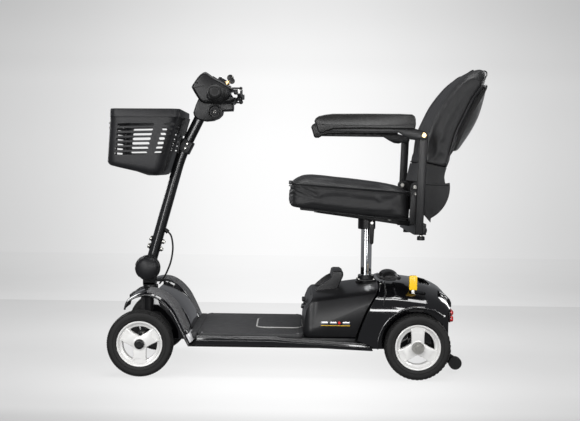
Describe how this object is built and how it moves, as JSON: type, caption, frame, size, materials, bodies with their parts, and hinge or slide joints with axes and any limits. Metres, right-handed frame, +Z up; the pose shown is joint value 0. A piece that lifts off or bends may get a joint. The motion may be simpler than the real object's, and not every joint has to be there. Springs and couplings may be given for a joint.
{
  "type": "mobility scooter",
  "caption": "Travel mobility scooter with tilting tiller, front basket, swivelling padded seat with folding back, flip-up armrests, lift-out battery pack and solid-tyred wheels",
  "frame": {"origin": "on the ground under the centre of the bounding box", "axes": "+Z up, +X towards the rear of the scooter, +Y towards the rider's right"},
  "size_m": [1.171, 0.54, 0.95],
  "materials": {
    "frame_steel": "satin black powder coat",
    "zinc": "bright zinc plate",
    "gloss_black": "glossy black moulded plastic",
    "satin_black": "satin black moulded plastic",
    "textured_black": "fine leather-grain black moulded plastic",
    "mat_rubber": "ribbed dark rubber",
    "lens_red": "clear red lens plastic",
    "cast_alloy": "grey cast housing",
    "cable_rubber": "black cable sheath",
    "tiller_paint": "black gloss powder coat",
    "grip_rubber": "soft black rubber",
    "brass_key": "plated key metal",
    "grey_plastic": "light grey plastic",
    "tyre_black": "black solid tyre rubber",
    "rim_white": "silver-white painted wheel",
    "chrome_post": "polished chrome plate",
    "seat_vinyl": "charcoal upholstery with stitched seams",
    "pocket_cloth": "black woven nylon",
    "pad_black": "padded black integral-skin foam",
    "lever_yellow": "yellow moulded plastic"
  },
  "bodies": {
    "frame": {"main_frame": "frame_steel", "kingpins": "zinc", "deck_pan": "gloss_black", "deck_mat": "mat_rubber", "front_fenders": "gloss_black", "front_lift_handle": "frame_steel", "rear_shroud": "gloss_black", "shroud_handle": "satin_black", "tail_lights": "lens_red", "transaxle": "cast_alloy", "anti_tip_frame": "frame_steel", "post_collar": "satin_black", "controller_box": "cast_alloy"},
    "stem": {"steering_stem": "frame_steel", "tiller_cable": "cable_rubber", "pivot_bolt": "zinc"},
    "tiller": {"tiller_tube": "tiller_paint", "tiller_bolts": "zinc", "console_housing": "textured_black", "handlebar": "zinc", "handgrips": "grip_rubber", "charger_port": "textured_black", "basket_bracket": "satin_black"},
    "tiller_knob": {"tiller_knob": "satin_black"},
    "basket": {"basket": "satin_black"},
    "throttle": {"throttle_lever": "satin_black"},
    "key": {"key_set": "brass_key"},
    "dial": {"speed_dial": "satin_black"},
    "horn": {"horn_button": "grey_plastic"},
    "tie_rod": {"tie_rod": "zinc"},
    "knuckle_left": {"knuckle_left": "frame_steel"},
    "knuckle_right": {"knuckle_right": "frame_steel"},
    "wheel_front_left": {"tyre_front_left": "tyre_black", "rim_front_left": "rim_white", "hub_cap_left": "satin_black"},
    "wheel_front_right": {"tyre_front_right": "tyre_black", "rim_front_right": "rim_white", "hub_cap_right": "satin_black"},
    "wheel_rear_left": {"tyre_rear_left": "tyre_black", "rim_rear_left": "rim_white", "axle_left": "zinc"},
    "wheel_rear_right": {"tyre_rear_right": "tyre_black", "rim_rear_right": "rim_white", "axle_right": "zinc"},
    "anti_tip": {"anti_tip_wheels": "grip_rubber"},
    "battery": {"battery_pack": "satin_black"},
    "freewheel": {"freewheel_lever": "lever_yellow"},
    "seat_post": {"seat_post": "chrome_post"},
    "seat": {"seat_base": "frame_steel", "seat_cushion": "seat_vinyl"},
    "swivel_lever": {"swivel_lever": "satin_black"},
    "back": {"back_shell": "textured_black", "back_cushion": "seat_vinyl", "back_pocket": "pocket_cloth"},
    "arm_left": {"armrest_post_left": "frame_steel"},
    "arm_right": {"armrest_post_right": "frame_steel"},
    "armrest_left": {"armrest_arm_left": "frame_steel", "armrest_pad_left": "pad_black"},
    "armrest_right": {"armrest_arm_right": "frame_steel", "armrest_pad_right": "pad_black"}
  },
  "joints": [
    {"name": "tiller_steer", "type": "hinge", "parent": "frame", "child": "stem", "pos_m": [-0.468, 0, 0.2], "axis": [0, 0, 1], "range_deg": [-30, 30]},
    {"name": "wheel_steer_left", "type": "hinge", "parent": "frame", "child": "knuckle_left", "pos_m": [-0.468, -0.165, 0.1], "axis": [0, 0, 1], "range_deg": [-30, 30]},
    {"name": "wheel_steer_right", "type": "hinge", "parent": "frame", "child": "knuckle_right", "pos_m": [-0.468, 0.165, 0.1], "axis": [0, 0, 1], "range_deg": [-30, 30]},
    {"name": "tie_rod_turn", "type": "hinge", "parent": "stem", "child": "tie_rod", "pos_m": [-0.423, 0, 0.12], "axis": [0, 0, 1], "range_deg": [-30, 30]},
    {"name": "tiller_tilt", "type": "hinge", "parent": "stem", "child": "tiller", "pos_m": [-0.471, 0, 0.311], "axis": [0, 1, 0], "range_deg": [-15, 8], "deforming": ["tiller_cable"]},
    {"name": "tiller_knob_turn", "type": "hinge", "parent": "stem", "child": "tiller_knob", "pos_m": [-0.471, -0.05, 0.311], "axis": [0, 1, 0], "range_deg": [0, 360]},
    {"name": "basket_lift", "type": "slide", "parent": "tiller", "child": "basket", "axis": [0.262, 0, 0.9651], "range_m": [0, 0.04]},
    {"name": "throttle_rock", "type": "hinge", "parent": "tiller", "child": "throttle", "pos_m": [-0.184, 0, 0.864], "axis": [0, 0, 1], "range_deg": [-15, 15], "stiffness_Nm_per_rad": 1.5},
    {"name": "key_turn", "type": "hinge", "parent": "tiller", "child": "key", "pos_m": [-0.22741, -0.042, 0.89418], "axis": [0.507, 0, 0.8619], "range_deg": [0, 60]},
    {"name": "dial_turn", "type": "hinge", "parent": "tiller", "child": "dial", "pos_m": [-0.24637, 0.006, 0.90534], "axis": [0.507, 0, 0.8619], "range_deg": [0, 270]},
    {"name": "horn_press", "type": "slide", "parent": "tiller", "child": "horn", "axis": [-0.507, 0, -0.8619], "range_m": [0, 0.002], "stiffness_N_per_m": 600},
    {"name": "front_spin_left", "type": "hinge", "parent": "knuckle_left", "child": "wheel_front_left", "pos_m": [-0.468, -0.222, 0.1], "axis": [0, 1, 0], "continuous": true},
    {"name": "front_spin_right", "type": "hinge", "parent": "knuckle_right", "child": "wheel_front_right", "pos_m": [-0.468, 0.222, 0.1], "axis": [0, 1, 0], "continuous": true},
    {"name": "rear_spin_left", "type": "hinge", "parent": "frame", "child": "wheel_rear_left", "pos_m": [0.369, -0.222, 0.1], "axis": [0, 1, 0], "continuous": true},
    {"name": "rear_spin_right", "type": "hinge", "parent": "frame", "child": "wheel_rear_right", "pos_m": [0.369, 0.222, 0.1], "axis": [0, 1, 0], "continuous": true},
    {"name": "anti_tip_roll", "type": "hinge", "parent": "frame", "child": "anti_tip", "pos_m": [0.503, 0, 0.03], "axis": [0, 1, 0], "continuous": true},
    {"name": "battery_lift", "type": "slide", "parent": "frame", "child": "battery", "axis": [0, 0, 1], "range_m": [0, 0.1]},
    {"name": "freewheel_throw", "type": "hinge", "parent": "frame", "child": "freewheel", "pos_m": [0.357, -0.19, 0.252], "axis": [0, 1, 0], "range_deg": [0, 35]},
    {"name": "post_height", "type": "slide", "parent": "frame", "child": "seat_post", "axis": [0, 0, 1], "range_m": [0, 0.05]},
    {"name": "seat_swivel", "type": "hinge", "parent": "seat_post", "child": "seat", "pos_m": [0.227, 0, 0.45], "axis": [0, 0, 1], "range_deg": [-90, 90]},
    {"name": "swivel_lever_pull", "type": "hinge", "parent": "seat", "child": "swivel_lever", "pos_m": [0.241, -0.033, 0.462], "axis": [0, 1, 0], "range_deg": [0, 25], "stiffness_Nm_per_rad": 0.4},
    {"name": "back_fold", "type": "hinge", "parent": "seat", "child": "back", "pos_m": [0.358, 0, 0.581], "axis": [0, -1, 0], "range_deg": [0, 85]},
    {"name": "arm_width_left", "type": "slide", "parent": "seat", "child": "arm_left", "axis": [0, -1, 0], "range_m": [0, 0.04]},
    {"name": "arm_width_right", "type": "slide", "parent": "seat", "child": "arm_right", "axis": [0, 1, 0], "range_m": [0, 0.04]},
    {"name": "arm_flip_left", "type": "hinge", "parent": "arm_left", "child": "armrest_left", "pos_m": [0.373, -0.245, 0.736], "axis": [0, 1, 0], "range_deg": [0, 90]},
    {"name": "arm_flip_right", "type": "hinge", "parent": "arm_right", "child": "armrest_right", "pos_m": [0.373, 0.245, 0.736], "axis": [0, 1, 0], "range_deg": [0, 90]}
  ],
  "couplings": [
    {"joint": "wheel_steer_left", "follows": "tiller_steer", "ratio": 1},
    {"joint": "wheel_steer_right", "follows": "tiller_steer", "ratio": 1},
    {"joint": "tie_rod_turn", "follows": "tiller_steer", "ratio": -1}
  ]
}
